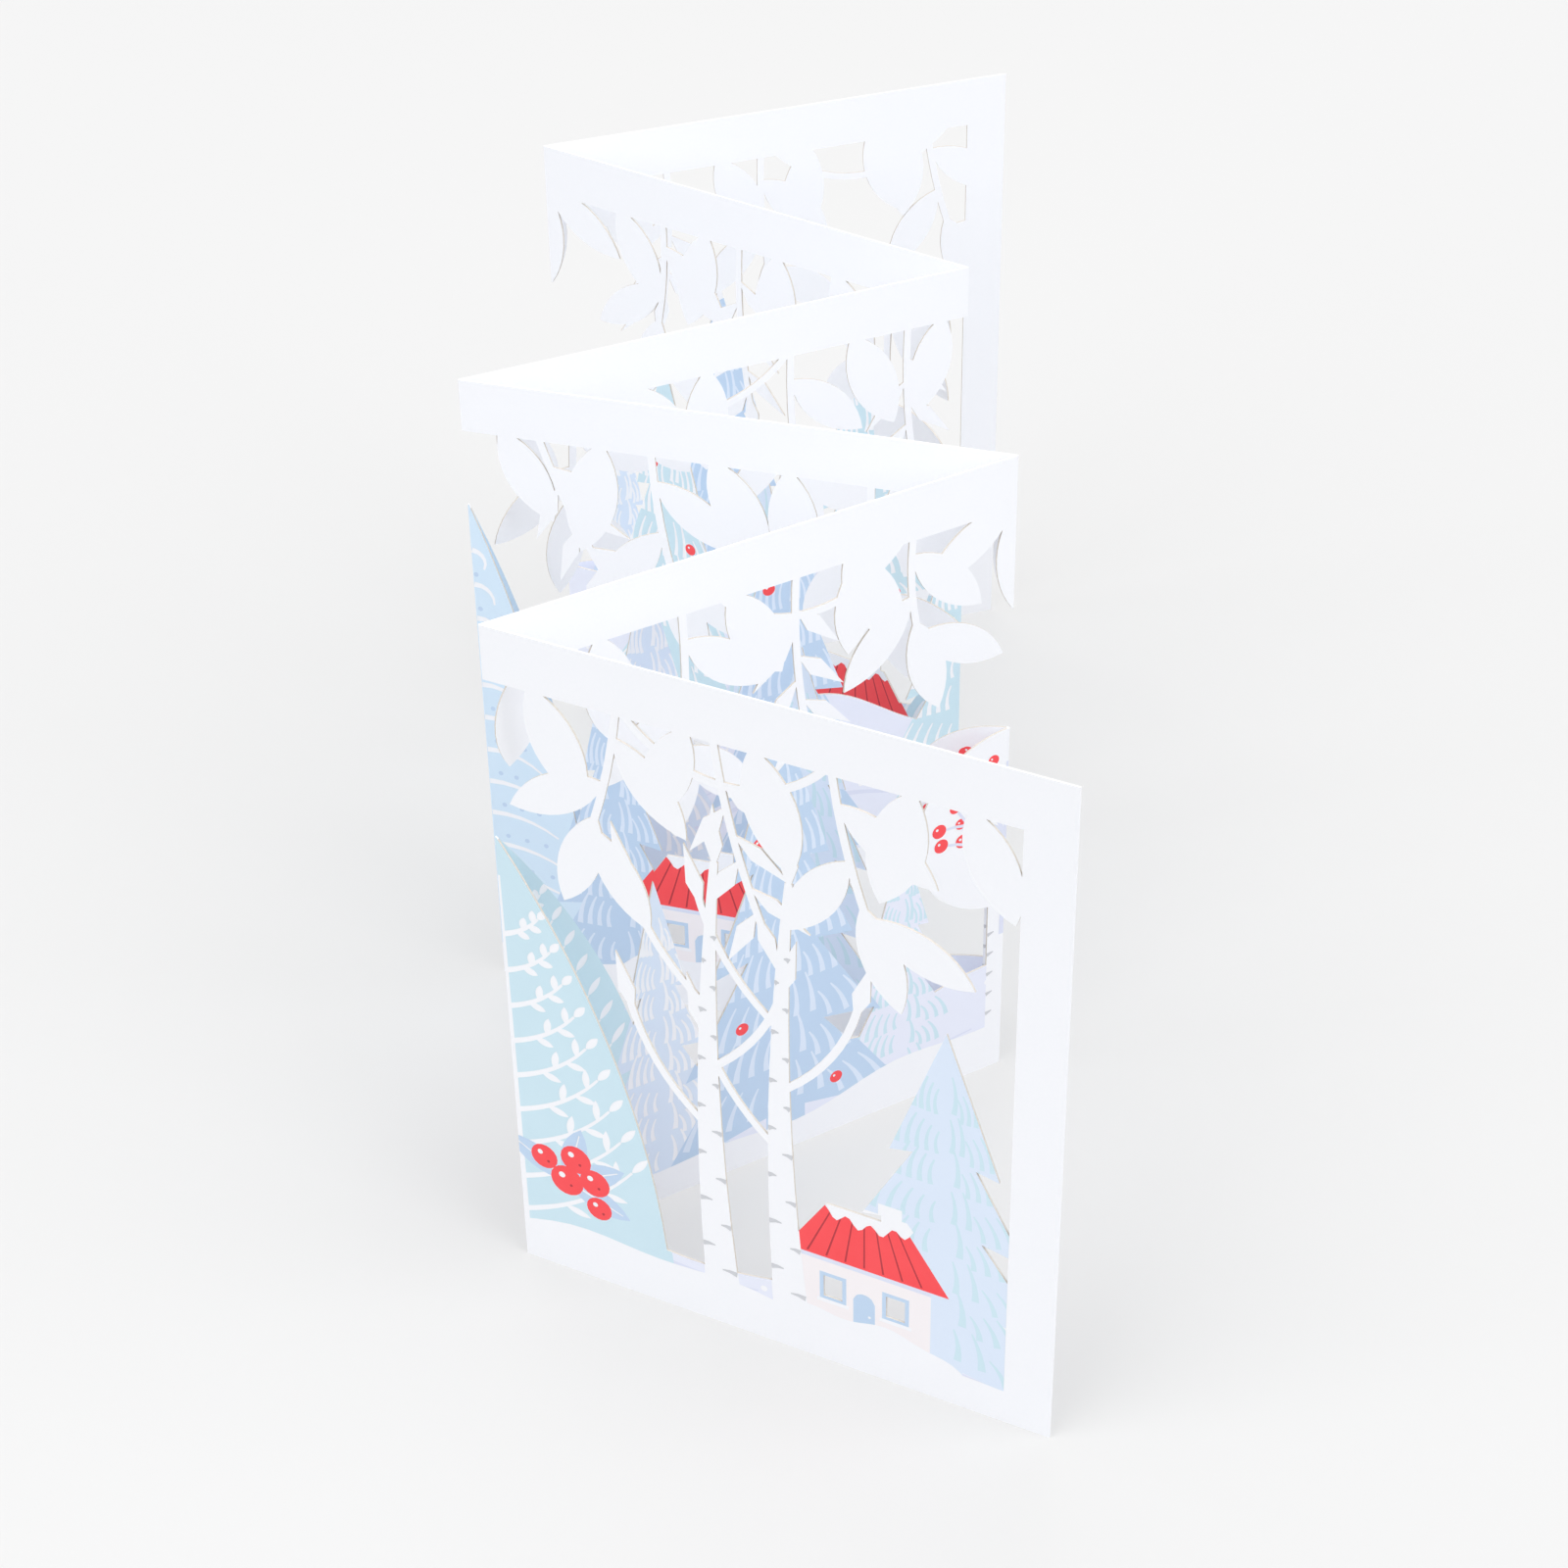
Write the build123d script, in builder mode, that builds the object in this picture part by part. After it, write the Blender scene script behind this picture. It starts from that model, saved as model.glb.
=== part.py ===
"""Concertina card: one sheet of white card, creased into six upright panels that stand in a zigzag.

The front panel faces -Y. Each panel is drawn as it is seen from the front, from its left edge to its
right edge, and the die cuts away what lies between the top band, the snow and the winter wood.
What stands on a fold is drawn alike on the two panels beside it, so that their cuts meet there.
"""
from math import cos, radians, sin
import os

from build123d import *

# The sheet: lengths in mm, angles in degrees
PANEL_WIDTH = 130.0
PANEL_HEIGHT = 170.0
SHEET = 0.5
FIRST_HEADING = 152.4
FOLD_ANGLES = (58, 48, 42, 60, 55)
PANELS = len(FOLD_ANGLES) + 1
BAND = 13.0
FRAME = 11.0
SMALLEST_CUT = 3.5

# Snow: its depth at the seven upright edges and at two places across each panel
SNOW_DEPTH = 40.0
SNOW_EDGE_SHARES = (0.46, 0.50, 0.80, 0.60, 1.00, 1.10, 0.60)
SNOW_PLACE_SHARES = (0.38, 0.72)
SNOW_SHARES = ((0.40, 0.58), (0.90, 0.62), (0.66, 0.60), (1.15, 1.45), (1.45, 0.80), (0.72, 1.15))

# Leaves of the canopy, and the stems that carry them
CANOPY_DEPTH = 62.0
STEM = 1.8
FIRST_LEAF_SHARE = 0.30
LAST_LEAF_SHARE = 0.92
TIP_LAP_SHARE = 0.25
WAIST_SHARE = 0.40
ALMOND_LENGTH = 26.0
ALMOND_BREADTH = 9.6
ALMOND_LEAVES = 3
ALMOND_SPREAD = 48
WILLOW_LENGTH = 16.0
WILLOW_BREADTH = 4.2
WILLOW_LEAVES = 6
WILLOW_SPREAD = 44
FRINGE_LENGTH = 30.0
FRINGE_BREADTH = 12.5
FAN_HEADINGS = (-32, -90, -148)

# Sprays by panel, each with its foot across the band, its heading, its turn and its reach
ALMOND_SHARES = (
    ((0.24, -95, -15, 0.85), (0.60, -85, 15, 0.90)),
    ((0.35, -85, -12, 0.90), (0.80, -100, 25, 0.75)),
    ((0.35, -90, 15, 0.90), (0.75, -95, 20, 0.80)),
    ((0.20, -85, -15, 0.80), (0.64, -95, 15, 0.90)),
    ((0.29, -85, -20, 0.85), (0.84, -100, 15, 0.85)),
    ((0.46, -95, 15, 0.90), (0.82, -85, 15, 0.85)),
)
WILLOW_SHARES = (
    ((0.40, -85, 15, 0.90),),
    ((0.57, -95, 15, 0.85),),
    ((0.13, -75, 15, 0.80),),
    ((0.88, -95, 15, 0.85),),
    ((0.48, -95, 15, 0.90),),
    ((0.25, -85, -15, 0.80),),
)
SWAG_SHARES = (
    ((0.22, 0.62, 0.26),),
    ((0.40, 0.80, 0.26),),
    (),
    ((0.24, 0.66, 0.26),),
    (),
    ((0.46, 0.90, 0.26),),
)

# Leaves that hang straight from the band by panel: place across, heading and size
FRINGE_SHARES = (
    ((0.08, -66, 0.95), (0.36, -112, 0.85), (0.47, -74, 1.00), (0.74, -104, 1.00), (0.83, -68, 0.90)),
    ((0.08, -104, 0.85), (0.20, -80, 1.00), (0.44, -62, 0.90), (0.66, -60, 0.95), (0.70, -100, 0.85)),
    ((0.07, -62, 0.85), (0.26, -102, 1.00), (0.46, -64, 0.95), (0.60, -86, 0.95), (0.88, -112, 0.85)),
    ((0.07, -64, 0.95), (0.32, -62, 1.00), (0.47, -92, 0.90), (0.76, -66, 0.95), (0.95, -104, 0.85)),
    ((0.18, -62, 0.90), (0.40, -104, 0.95), (0.57, -94, 1.00), (0.70, -66, 0.90), (0.95, -108, 0.85)),
    ((0.13, -70, 0.95), (0.36, -62, 0.90), (0.56, -96, 0.95), (0.69, -64, 0.90), (0.78, -92, 0.85)),
)

# Trees that stand on the folds
FLAME_HEIGHT = 118.0
FLAME_REACH = 38.0
FLAME_BULGE = 9.0
SPIRE_HEIGHT = 138.0
SPIRE_REACH = 26.0
SPIRE_BULGE = 6.0
CROWN_RADIUS = 25.0
CROWN_HEIGHT = 74.0
TRUNK = 9.0

# Firs, birches and cottages that stand in the snow
FIR_TIERS = 4
FIR_LIFT_SHARE = 0.20
FIR_OVERLAP_SHARE = 0.70
FIR_TRUNK_SHARE = 0.33
BIRCH_FOOT = 9.0
BIRCH_TOP = 1.8
BIRCH_HEIGHT = 128.0
BIRCH_BOW = 3.0
TWIG_LENGTH = 34.0
TWIG_TURN = 38
TWIG_PLACE_SHARES = (0.44, 0.57, 0.70)
TWIG_SPREAD = 52
COTTAGE_FLOOR = 13.0
COTTAGE_WIDTH = 30.0
WALL_HEIGHT = 18.0
ROOF_HEIGHT = 15.0
EAVES = 3.5
RIDGE = 18.0
CHIMNEY_PLACE_SHARE = 0.20
CHIMNEY_WIDTH = 4.0
CHIMNEY_HEIGHT = 3.5
PANE_PLACE_SHARE = 0.25
PANE_WIDTH = 4.5
PANE_HEIGHT = 6.0

# Firs by panel: place across, height and half breadth
FIR_SHARES = (
    ((0.80, 0.60, 0.24),),
    ((0.28, 0.54, 0.14), (0.53, 0.74, 0.24), (0.78, 0.46, 0.14)),
    ((0.25, 0.60, 0.15), (0.62, 0.66, 0.20)),
    ((0.33, 0.64, 0.17), (0.62, 0.76, 0.20), (1.0, 0.64, 0.20)),
    ((0.28, 0.70, 0.20), (0.52, 0.60, 0.16), (1.0, 0.64, 0.20)),
    ((0.13, 0.52, 0.11), (0.36, 0.72, 0.20), (0.68, 0.58, 0.18)),
)
BIRCH_SHARES = ((0.40, 0.53), (), (), (), (), ())
COTTAGE_SHARES = ((0.66,), (), (0.42,), (), (0.75,), ())


def heading_vector(heading, length):
    """Vector of a length along a heading in the drawing plane."""
    return Vector(length * cos(radians(heading)), length * sin(radians(heading)))


def zigzag():
    """Plan points of the sheet's middle line from the front edge to the back edge, and the headings."""
    headings = [FIRST_HEADING]
    for fold, angle in enumerate(FOLD_ANGLES):
        turn = angle - 180 if fold % 2 == 0 else 180 - angle
        headings.append(headings[-1] + turn)
    corners = [Vector(0, 0)]
    for heading in headings:
        corners.append(corners[-1] + heading_vector(heading, PANEL_WIDTH))
    return corners, headings


def almond(foot, heading, length, breadth):
    """Leaf of two equal arcs that meet at its foot and its tip."""
    tip = foot + heading_vector(heading, length)
    with BuildSketch(mode=Mode.PRIVATE) as blade:
        with BuildLine():
            SagittaArc(foot, tip, breadth / 2)
            SagittaArc(tip, foot, breadth / 2)
        make_face()
    return blade.sketch


def lozenge(foot, heading, length, breadth):
    """Narrow pointed leaf, widest nearer its foot than its tip."""
    tip = foot + heading_vector(heading, length)
    waist = foot + heading_vector(heading, WAIST_SHARE * length)
    across = heading_vector(heading + 90, breadth / 2)
    with BuildSketch(mode=Mode.PRIVATE) as blade:
        with BuildLine():
            Polyline(foot, waist + across, tip, waist - across, close=True)
        make_face()
    return blade.sketch


def stem(foot, heading, turn, length):
    """Evenly bent stem, as its middle line and its face."""
    with BuildLine(mode=Mode.PRIVATE) as rib:
        JernArc(foot, heading_vector(heading, 1), length / radians(abs(turn)), turn)
    with BuildSketch(mode=Mode.PRIVATE) as stalk:
        SlotArc(rib.edge(), STEM)
    return rib.edge(), stalk.sketch


def spray(place, shape, leaves, spread, length, breadth):
    """Stem that hangs from the band, with leaves to both sides by turns and one at its tip."""
    across, heading, turn, reach = place
    foot = Vector(across * PANEL_WIDTH, PANEL_HEIGHT - BAND / 2)
    rib, stalk = stem(foot, heading, turn, reach * CANOPY_DEPTH + BAND / 2 - length * (1 - TIP_LAP_SHARE))
    pieces = [stalk]
    for leaf in range(leaves):
        share = FIRST_LEAF_SHARE + (LAST_LEAF_SHARE - FIRST_LEAF_SHARE) * leaf / (leaves - 1)
        side = spread if leaf % 2 == 0 else -spread
        pieces.append(shape(rib @ share, heading + turn * share + side, length, breadth))
    tip_foot = rib @ 1 - heading_vector(heading + turn, TIP_LAP_SHARE * length)
    pieces.append(shape(tip_foot, heading + turn, length, breadth))
    return pieces


def swag(place):
    """Bare vine that sags between two places on the band."""
    start, end, sag = place
    height = PANEL_HEIGHT - BAND / 2
    with BuildLine(mode=Mode.PRIVATE) as rib:
        SagittaArc((start * PANEL_WIDTH, height), (end * PANEL_WIDTH, height), -sag * CANOPY_DEPTH)
    with BuildSketch(mode=Mode.PRIVATE) as vine:
        SlotArc(rib.edge(), STEM)
    return vine.sketch


def fan(across):
    """Three leaves that spread below the band, even on both sides of a fold."""
    foot = Vector(across, PANEL_HEIGHT - BAND + STEM)
    return [almond(foot, heading, ALMOND_LENGTH + STEM, ALMOND_BREADTH) for heading in FAN_HEADINGS]


def cone(across, height, reach, bulge):
    """Pointed tree with rounded flanks, even on both sides of its upright axis."""
    peak = (across, height)
    with BuildSketch(mode=Mode.PRIVATE) as tree:
        with BuildLine():
            SagittaArc((across + reach, 0), peak, -bulge)
            SagittaArc(peak, (across - reach, 0), -bulge)
            Line((across - reach, 0), (across + reach, 0))
        make_face()
    return tree.sketch


def round_tree(across):
    """Ball crown on a straight trunk."""
    with BuildSketch(mode=Mode.PRIVATE) as tree:
        with Locations((across, CROWN_HEIGHT)):
            Circle(CROWN_RADIUS)
        with Locations((across, 0)):
            Rectangle(TRUNK, CROWN_HEIGHT, align=(Align.CENTER, Align.MIN))
    return tree.sketch


def fir(across, height, reach):
    """Fir of overlapping tiers whose boughs droop, on a short trunk."""
    drop = height / (FIR_TIERS + 1)
    with BuildSketch(mode=Mode.PRIVATE) as tree:
        for tier in range(FIR_TIERS):
            wide = reach * (tier + 2) / (FIR_TIERS + 1)
            peak = height - drop * tier
            skirt = peak - drop * (1 + FIR_OVERLAP_SHARE)
            lifted = skirt + wide * FIR_LIFT_SHARE
            left, right = (across - wide, skirt), (across + wide, skirt)
            with BuildLine():
                Polyline((across, peak), left, (across, lifted), right, close=True)
            make_face()
        with Locations((across, 0)):
            Rectangle(reach * FIR_TRUNK_SHARE, drop * 2, align=(Align.CENTER, Align.MIN))
    return tree.sketch


def birch(across):
    """Slender bowed trunk, with a leaf at the end of each upturned twig."""
    foot_left = (across - BIRCH_FOOT / 2, 0)
    foot_right = (across + BIRCH_FOOT / 2, 0)
    top_left = (across - BIRCH_TOP / 2, BIRCH_HEIGHT)
    top_right = (across + BIRCH_TOP / 2, BIRCH_HEIGHT)
    with BuildSketch(mode=Mode.PRIVATE) as trunk:
        with BuildLine():
            SagittaArc(foot_right, top_right, BIRCH_BOW)
            Line(top_right, top_left)
            SagittaArc(top_left, foot_left, -BIRCH_BOW)
            Line(foot_left, foot_right)
        make_face()
    top = Vector(across, BIRCH_HEIGHT - BIRCH_TOP)
    pieces = [trunk.sketch, lozenge(top, 90, WILLOW_LENGTH, WILLOW_BREADTH)]
    for twig, share in enumerate(TWIG_PLACE_SHARES):
        side = 1 if twig % 2 == 0 else -1
        heading = 90 + side * TWIG_SPREAD
        bowed = across - BIRCH_BOW * 4 * share * (1 - share)
        rib, stalk = stem(Vector(bowed, share * BIRCH_HEIGHT), heading, -side * TWIG_TURN, TWIG_LENGTH)
        tip = lozenge(rib @ LAST_LEAF_SHARE, heading - side * TWIG_TURN, WILLOW_LENGTH, WILLOW_BREADTH)
        pieces += [stalk, tip]
    return pieces


def cottage(across):
    """Cottage seen from its long side, with a hipped roof and a chimney."""
    plate = COTTAGE_FLOOR + WALL_HEIGHT
    eaves = COTTAGE_WIDTH / 2 + EAVES
    ridge = plate + ROOF_HEIGHT
    with BuildSketch(mode=Mode.PRIVATE) as house:
        with Locations((across, COTTAGE_FLOOR)):
            Rectangle(COTTAGE_WIDTH, WALL_HEIGHT, align=(Align.CENTER, Align.MIN))
        with BuildLine():
            Polyline(
                (across - eaves, plate),
                (across + eaves, plate),
                (across + RIDGE / 2, ridge),
                (across - RIDGE / 2, ridge),
                close=True,
            )
        make_face()
        with Locations((across + CHIMNEY_PLACE_SHARE * COTTAGE_WIDTH, plate)):
            Rectangle(CHIMNEY_WIDTH, ROOF_HEIGHT + CHIMNEY_HEIGHT, align=(Align.CENTER, Align.MIN))
    return house.sketch


def panes(across):
    """Two window panes in a cottage's wall."""
    aside = PANE_PLACE_SHARE * COTTAGE_WIDTH
    height = COTTAGE_FLOOR + WALL_HEIGHT / 2
    with BuildSketch(mode=Mode.PRIVATE) as glazing:
        with Locations((across - aside, height), (across + aside, height)):
            Rectangle(PANE_WIDTH, PANE_HEIGHT)
    return glazing.sketch


def wood(panel):
    """Everything that the die leaves standing in one panel's window."""
    kept = []
    for place in ALMOND_SHARES[panel]:
        kept += spray(place, almond, ALMOND_LEAVES, ALMOND_SPREAD, ALMOND_LENGTH, ALMOND_BREADTH)
    for place in WILLOW_SHARES[panel]:
        kept += spray(place, lozenge, WILLOW_LEAVES, WILLOW_SPREAD, WILLOW_LENGTH, WILLOW_BREADTH)
    for across, heading, size in FRINGE_SHARES[panel]:
        foot = Vector(across * PANEL_WIDTH, PANEL_HEIGHT - BAND + STEM)
        kept.append(almond(foot, heading, size * FRINGE_LENGTH, size * FRINGE_BREADTH))
    for place in SWAG_SHARES[panel]:
        kept.append(swag(place))
    for across, height, reach in FIR_SHARES[panel]:
        kept.append(fir(across * PANEL_WIDTH, height * PANEL_HEIGHT, reach * PANEL_WIDTH))
    for across in BIRCH_SHARES[panel]:
        kept += birch(across * PANEL_WIDTH)
    for across in COTTAGE_SHARES[panel]:
        kept.append(cottage(across * PANEL_WIDTH))
    if panel in (0, 1):
        kept.append(cone(0, FLAME_HEIGHT, FLAME_REACH, FLAME_BULGE))
    if panel in (1, 2):
        kept.append(round_tree(PANEL_WIDTH))
        kept += fan(PANEL_WIDTH)
    if panel in (2, 3):
        kept.append(cone(0, SPIRE_HEIGHT, SPIRE_REACH, SPIRE_BULGE))
    if panel in (4, 5):
        kept += fan(0)
    return kept


def window(panel):
    """Opening between the band and the snow, run past the folds by the thickness of the sheet."""
    at_left, at_right = (panel + 1, panel) if panel % 2 == 0 else (panel, panel + 1)
    depths = [SNOW_EDGE_SHARES[at_left], *SNOW_SHARES[panel], SNOW_EDGE_SHARES[at_right]]
    places = [0, *SNOW_PLACE_SHARES, 1]
    snow = [(place * PANEL_WIDTH, depth * SNOW_DEPTH) for place, depth in zip(places, depths)]
    left = -SHEET
    right = PANEL_WIDTH + SHEET
    top = PANEL_HEIGHT - BAND
    with BuildSketch(mode=Mode.PRIVATE) as opening:
        with BuildLine():
            Line((left, snow[0][1]), snow[0])
            Spline(*snow, tangents=((1, 0), (1, 0)))
            Polyline(snow[-1], (right, snow[-1][1]), (right, top), (left, top), (left, snow[0][1]))
        make_face()
        if panel in (0, PANELS - 1):
            with Locations((PANEL_WIDTH - FRAME, 0)):
                Rectangle(FRAME + SHEET, PANEL_HEIGHT, align=Align.MIN, mode=Mode.SUBTRACT)
    return opening.sketch


def cuts(panel):
    """What the die takes out of a panel, apart from scraps that are too small to punch."""
    with BuildSketch(mode=Mode.PRIVATE) as openwork:
        add(window(panel))
        add(wood(panel), mode=Mode.SUBTRACT)
        for across in COTTAGE_SHARES[panel]:
            add(panes(across * PANEL_WIDTH))
    return [cut for cut in openwork.faces() if cut.area > SMALLEST_CUT**2]


corners, headings = zigzag()
with BuildSketch(mode=Mode.PRIVATE) as section:
    for corner, heading in zip(corners, headings):
        with Locations(Location(corner, (0, 0, heading))):
            Rectangle(PANEL_WIDTH, SHEET, align=(Align.MIN, Align.CENTER))
    with Locations(*corners[1:-1]):
        Circle(SHEET / 2)
middle = section.sketch.bounding_box().center()


def panel_plane(panel):
    """Drawing plane of a panel: origin at the foot of its left edge, X to its right, Y up."""
    left = corners[panel + 1] if panel % 2 == 0 else corners[panel]
    toward = headings[panel] + 180 if panel % 2 == 0 else headings[panel]
    rightward = heading_vector(toward, 1)
    return Plane(left - middle, x_dir=rightward, z_dir=rightward.cross(Vector(0, 0, 1)))


with BuildPart() as card:
    with BuildSketch(Plane(-middle)):
        add(section.sketch)
    extrude(amount=PANEL_HEIGHT)
    for panel in range(PANELS):
        with BuildSketch(panel_plane(panel)):
            add(cuts(panel))
        extrude(amount=SHEET, both=True, mode=Mode.SUBTRACT)
card.part.label = "card"

os.makedirs("parts", exist_ok=True)
export_step(card.part, "parts/card.step")
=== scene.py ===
import bpy
import numpy as np
from mathutils import Matrix
from mathutils.geometry import delaunay_2d_cdt


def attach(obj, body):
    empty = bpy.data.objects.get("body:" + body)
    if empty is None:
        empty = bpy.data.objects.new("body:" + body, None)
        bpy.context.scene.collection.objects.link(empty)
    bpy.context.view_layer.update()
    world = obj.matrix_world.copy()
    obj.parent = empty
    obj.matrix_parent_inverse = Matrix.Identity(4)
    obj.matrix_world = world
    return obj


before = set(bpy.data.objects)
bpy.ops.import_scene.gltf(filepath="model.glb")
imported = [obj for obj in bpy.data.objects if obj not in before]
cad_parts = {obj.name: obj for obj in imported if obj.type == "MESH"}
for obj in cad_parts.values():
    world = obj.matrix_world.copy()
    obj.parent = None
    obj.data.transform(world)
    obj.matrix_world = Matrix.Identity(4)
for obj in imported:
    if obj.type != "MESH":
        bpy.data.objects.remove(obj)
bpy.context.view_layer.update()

# The folded sheet: white coated card of about 425 g per square metre, creased at five folds so that it
# stands in a zigzag, and die-cut into openwork. Its faces are smooth and faintly blue. The cut edges
# show the raw core in a darker, warmer tone, and the coat stays whole round the folds. The top edge,
# which faces up into the light, is painted lighter than the other cut edges: painted light.
METRE = 1000.0
PANEL_WIDTH, PANEL_HEIGHT, SHEET = 130.0, 170.0, 0.5
FIRST_HEADING = 152.4
FOLD_ANGLES = (58, 48, 42, 60, 55)
PANELS = len(FOLD_ANGLES) + 1
COAT_TONES = ((242, 244, 249), (247, 248, 252))
CORE_TONES = ((198, 190, 181), (226, 221, 214))
FACE_MATCH, UPWARD, TOP_EDGE_PAINTED_LIGHT = 0.97, 0.5, 0.55
FIBRE, FIBRE_DETAIL, FIBRE_SHARE = 0.0006, 3, 0.7
MOTTLE, MOTTLE_DETAIL = 0.02, 2
CORE_ROUGHNESS, FIBRE_ROUGHNESS, COAT_POLISH = 0.62, 0.08, 0.08
FIBRE_RELIEF, FIBRE_STRENGTH, SPECULAR = 0.00004, 0.06, 0.35


def zigzag():
    """Plan of the sheet's middle line: unit steps along headings that swing by each fold's angle to and
    fro, summed, then shifted so that the sheet's box is centred. Gives corners and headings in radians."""
    swings = [(angle - 180) * (-1) ** fold for fold, angle in enumerate(FOLD_ANGLES)]
    headings = np.radians(np.cumsum([FIRST_HEADING, *swings]))
    steps = np.stack([np.cos(headings), np.sin(headings)], axis=1)
    corners = PANEL_WIDTH * np.vstack([np.zeros(2), np.cumsum(steps, axis=0)])
    across = np.stack([-steps[:, 1], steps[:, 0]], axis=1)
    reach = np.full((PANELS + 1, 2), SHEET / 2)
    reach[0], reach[-1] = abs(across[0]) * SHEET / 2, abs(across[-1]) * SHEET / 2
    middle = ((corners - reach).min(axis=0) + (corners + reach).max(axis=0)) / 2
    return corners - middle, headings


corners, headings = zigzag()


def panel_frame(panel):
    """Foot of the panel's left edge, its direction to the right, and its normal towards the front, which
    is that direction turned by a quarter."""
    even = panel % 2 == 0
    foot = corners[panel + 1] if even else corners[panel]
    heading = headings[panel] + np.pi if even else headings[panel]
    right = np.array([np.cos(heading), np.sin(heading)])
    return foot, right, np.array([right[1], -right[0]])


def tone(red, green, blue):
    """A display colour of 0 to 255 as linear light, by the sRGB curve, with full alpha."""
    share = np.array([red, green, blue]) / 255
    linear = np.where(share > 0.04045, ((share + 0.055) / 1.055) ** 2.4, share / 12.92)
    return (*linear.tolist(), 1.0)


class Wire:
    """A socket in a node tree. Arithmetic on it adds Math nodes."""

    def __init__(self, tree, socket=None):
        self.tree = tree
        self.socket = socket

    def node(self, kind, settings, sockets, out=0):
        """Adds a node: its settings first, then the value or the link of each input socket."""
        made = self.tree.nodes.new(kind)
        for name, value in settings.items():
            setattr(made, name, value)
        for name, value in sockets.items():
            if isinstance(value, Wire):
                value.into(made.inputs[name])
            else:
                made.inputs[name].default_value = value
        return Wire(self.tree, made.outputs[out])

    def into(self, entry):
        """Links this value to an input socket."""
        self.tree.links.new(self.socket, entry)

    def math(self, operation, first, second):
        """One Math node on two values."""
        return self.node("ShaderNodeMath", {"operation": operation}, {0: first, 1: second})

    def __add__(self, other):
        return self.math("ADD", self, other)

    def __sub__(self, other):
        return self.math("SUBTRACT", self, other)

    def __rsub__(self, other):
        return self.math("SUBTRACT", other, self)

    def __mul__(self, other):
        return self.math("MULTIPLY", self, other)

    __radd__ = __add__
    __rmul__ = __mul__

    def above(self, level):
        """1 where this value is over the level, and 0 elsewhere."""
        return self.math("GREATER_THAN", self, level)

    def most(self, other):
        """The greater of two values."""
        return self.math("MAXIMUM", self, other)

    def blend(self, low, high):
        """Colour that goes from low to high with this value."""
        return self.node("ShaderNodeMix", {"data_type": "RGBA"}, {0: self, 6: low, 7: high}, out=2)


def stock(name):
    """A new material: its wire, the place on the piece, and the surface shader to fill."""
    material = bpy.data.materials.new(name)
    material.use_nodes = True
    wire = Wire(material.node_tree)
    place = wire.node("ShaderNodeTexCoord", {}, {}, out="Object")
    return material, wire, place, material.node_tree.nodes["Principled BSDF"]


def cloud(wire, place, size, detail):
    """Noise with features of about that size in metres, from 0 to 1."""
    return wire.node("ShaderNodeTexNoise", {}, {"Vector": place, "Scale": 1 / size, "Detail": detail}, out=0)


def dress(shader, colour, roughness, fibre):
    """Fills a paper's surface: its colour, its roughness and the fibres as a faint bump."""
    colour.into(shader.inputs["Base Color"])
    roughness.into(shader.inputs["Roughness"])
    relief = {"Height": fibre, "Strength": FIBRE_STRENGTH, "Distance": FIBRE_RELIEF}
    fibre.node("ShaderNodeBump", {}, relief).into(shader.inputs["Normal"])
    shader.inputs["Specular IOR Level"].default_value = SPECULAR


def card_stock():
    """White card. A point is coated where its normal is that of a panel's face, or near a corner of the
    plan, where the sheet is folded. The rest is a cut edge in a darker, warmer tone. The top edge faces up
    into the light and is painted lighter than the other cut edges, between the two tones: painted light."""
    material, wire, place, shader = stock("white_card")
    normal = wire.node("ShaderNodeNewGeometry", {}, {}, out="Normal")
    facings = [(*panel_frame(panel)[2], 0) for panel in range(PANELS)]
    dots = [wire.node("ShaderNodeVectorMath", {"operation": "DOT_PRODUCT"}, {0: normal, 1: facing}, out=1)
            for facing in facings]
    coated = (dots[0] * dots[0]).above(FACE_MATCH)
    for dot in dots[1:]:
        coated = coated.most((dot * dot).above(FACE_MATCH))
    plan = wire.node("ShaderNodeVectorMath", {"operation": "MULTIPLY"}, {0: place, 1: (1, 1, 0)})
    for corner in corners:
        fold = (*(corner / METRE), 0)
        apart = wire.node("ShaderNodeVectorMath", {"operation": "DISTANCE"}, {0: plan, 1: fold}, out=1)
        coated = coated.most(1 - apart.above(SHEET / METRE))
    height = wire.node("ShaderNodeSeparateXYZ", {}, {"Vector": place}, out="Z")
    up = wire.node("ShaderNodeSeparateXYZ", {}, {"Vector": normal}, out="Z")
    # Painted light: the top edge, facing up into the light, takes a tone between core and coat, lighter than
    # the other cut edges.
    top = height.above((PANEL_HEIGHT - SHEET / 4) / METRE) * up.above(UPWARD)
    coated = coated.most(top) - (1 - TOP_EDGE_PAINTED_LIGHT) * top
    fibre = cloud(wire, place, FIBRE, FIBRE_DETAIL)
    mottle = cloud(wire, place, MOTTLE, MOTTLE_DETAIL)
    mixed = FIBRE_SHARE * fibre + (1 - FIBRE_SHARE) * mottle
    coat = mixed.blend(tone(*COAT_TONES[0]), tone(*COAT_TONES[1]))
    core = fibre.blend(tone(*CORE_TONES[0]), tone(*CORE_TONES[1]))
    roughness = CORE_ROUGHNESS + FIBRE_ROUGHNESS * fibre - COAT_POLISH * coated
    dress(shader, coated.blend(core, coat), roughness, fibre)
    return material


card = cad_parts["card"]
card.data.materials.clear()
card.data.materials.append(card_stock())

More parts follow.
